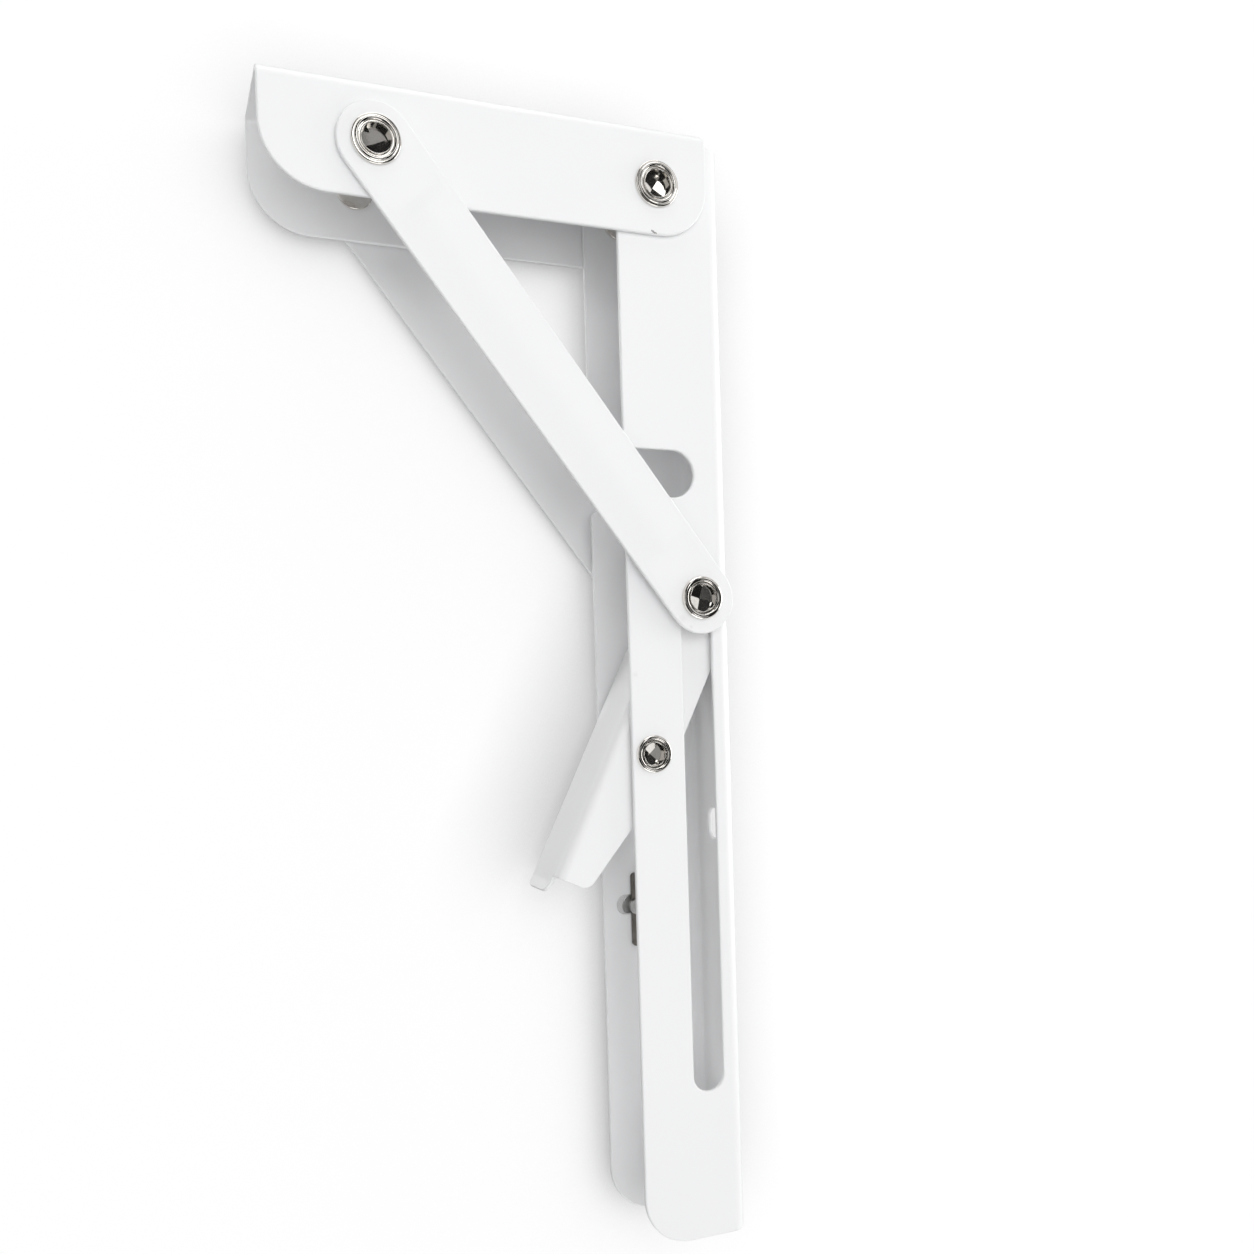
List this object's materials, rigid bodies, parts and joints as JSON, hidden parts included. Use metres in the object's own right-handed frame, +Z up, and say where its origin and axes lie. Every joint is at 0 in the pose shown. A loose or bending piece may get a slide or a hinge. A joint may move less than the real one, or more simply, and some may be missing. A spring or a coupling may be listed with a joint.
{
  "type": "folding shelf bracket",
  "caption": "Folding steel bracket with a long wall rail, a short shelf arm, paired struts that slide in slots and a release lever.",
  "frame": {"origin": "midway between the upper two screw slots, on the back face of the wall rail", "axes": "+X into the wall, +Z up along the rail, the shelf arm reaches towards -X; Y across the width"},
  "size_m": [0.1757, 0.0508, 0.4241],
  "materials": {
    "white_powder_coat": "smooth satin powder coat",
    "nickel_plate": "bright nickel plate",
    "spring_steel": "dark blued spring steel",
    "zinc_plate": "dull zinc plate"
  },
  "bodies": {
    "rail": {"wall_rail": "white_powder_coat", "near_hinge_rivet": "nickel_plate", "far_hinge_rivet": "nickel_plate", "near_lever_rivet": "nickel_plate", "far_lever_rivet": "nickel_plate", "near_lever_spacer": "nickel_plate", "far_lever_spacer": "nickel_plate", "spring_leaf": "spring_steel", "leaf_stud": "zinc_plate"},
    "arm": {"shelf_arm": "white_powder_coat", "near_strut_rivet": "nickel_plate", "far_strut_rivet": "nickel_plate"},
    "struts": {"near_strut": "white_powder_coat", "far_strut": "white_powder_coat", "near_slide_head": "nickel_plate", "far_slide_head": "nickel_plate"},
    "slides": {"near_slide_pin": "nickel_plate", "far_slide_pin": "nickel_plate", "near_slide_washer": "nickel_plate", "far_slide_washer": "nickel_plate"},
    "lever": {"release_lever": "white_powder_coat"}
  },
  "joints": [
    {"name": "fold", "type": "hinge", "parent": "rail", "child": "arm", "pos_m": [-0.0285, 0, 0.143], "axis": [0, -1, 0], "range_deg": [0, 90]},
    {"name": "strut_swing", "type": "hinge", "parent": "arm", "child": "struts", "pos_m": [-0.1339, 0, 0.143], "axis": [0, 1, 0], "range_deg": [0, 123.63]},
    {"name": "slide_run", "type": "slide", "parent": "rail", "child": "slides", "axis": [0, 0, -1], "range_m": [0, 0.14499]},
    {"name": "lever_press", "type": "hinge", "parent": "rail", "child": "lever", "pos_m": [-0.0351, 0, -0.07019], "axis": [0, -1, 0], "range_deg": [0, 26], "stiffness_Nm_per_rad": 0.15, "springref_deg": -17.19}
  ],
  "couplings": [
    {"joint": "strut_swing", "follows": "fold", "ratio": 1.3737},
    {"joint": "slide_run", "follows": "fold", "m_per_rad": 0.092303}
  ]
}
